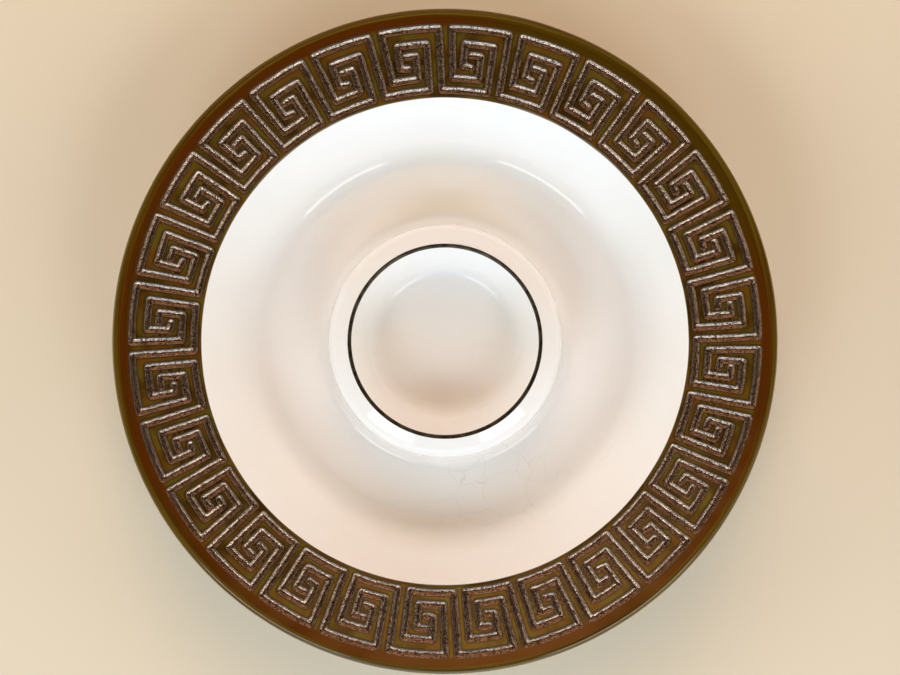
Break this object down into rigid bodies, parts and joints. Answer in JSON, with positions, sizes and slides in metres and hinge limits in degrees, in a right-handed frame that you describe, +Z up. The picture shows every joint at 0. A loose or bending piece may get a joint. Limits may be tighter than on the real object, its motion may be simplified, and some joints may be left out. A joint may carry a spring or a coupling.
{
  "type": "chip and dip bowl",
  "caption": "Round footed chip and dip bowl: a deep white well with a raised dip cup in its middle, and a wide brown rim with a Greek key sunk into it and lined with dark lustre.",
  "frame": {"origin": "on the table, below the middle of the dip cup, at the plane that the foot stands on", "axes": "+Z up along the bowl's axis, +Y towards the top of the picture, +X to its right"},
  "size_m": [0.33, 0.33, 0.056],
  "materials": {
    "white_glaze": "glossy white glaze, faintly crazed",
    "brown_glaze": "glossy olive and rust-brown glaze",
    "bare_clay": "bare fired clay, dry",
    "dark_lustre": "dark metallic lustre over the glaze"
  },
  "bodies": {
    "root": {"dip_cup": "white_glaze", "cup_shoulder": "white_glaze", "trough_floor": "white_glaze", "well_wall": "white_glaze", "rim_flange": "brown_glaze", "foot_ring": "bare_clay", "cup_lustre_line": "dark_lustre", "key_line_01": "dark_lustre", "key_line_02": "dark_lustre", "key_line_03": "dark_lustre", "key_line_04": "dark_lustre", "key_line_05": "dark_lustre", "key_line_06": "dark_lustre", "key_line_07": "dark_lustre", "key_line_08": "dark_lustre", "key_line_09": "dark_lustre", "key_line_10": "dark_lustre", "key_line_11": "dark_lustre", "key_line_12": "dark_lustre", "key_line_13": "dark_lustre", "key_line_14": "dark_lustre", "key_line_15": "dark_lustre", "key_line_16": "dark_lustre", "key_line_17": "dark_lustre", "key_line_18": "dark_lustre", "key_line_19": "dark_lustre", "key_line_20": "dark_lustre", "key_line_21": "dark_lustre", "key_line_22": "dark_lustre", "key_line_23": "dark_lustre", "key_line_24": "dark_lustre", "key_line_25": "dark_lustre", "key_line_26": "dark_lustre", "key_line_27": "dark_lustre", "key_line_28": "dark_lustre"}
  },
  "joints": []
}
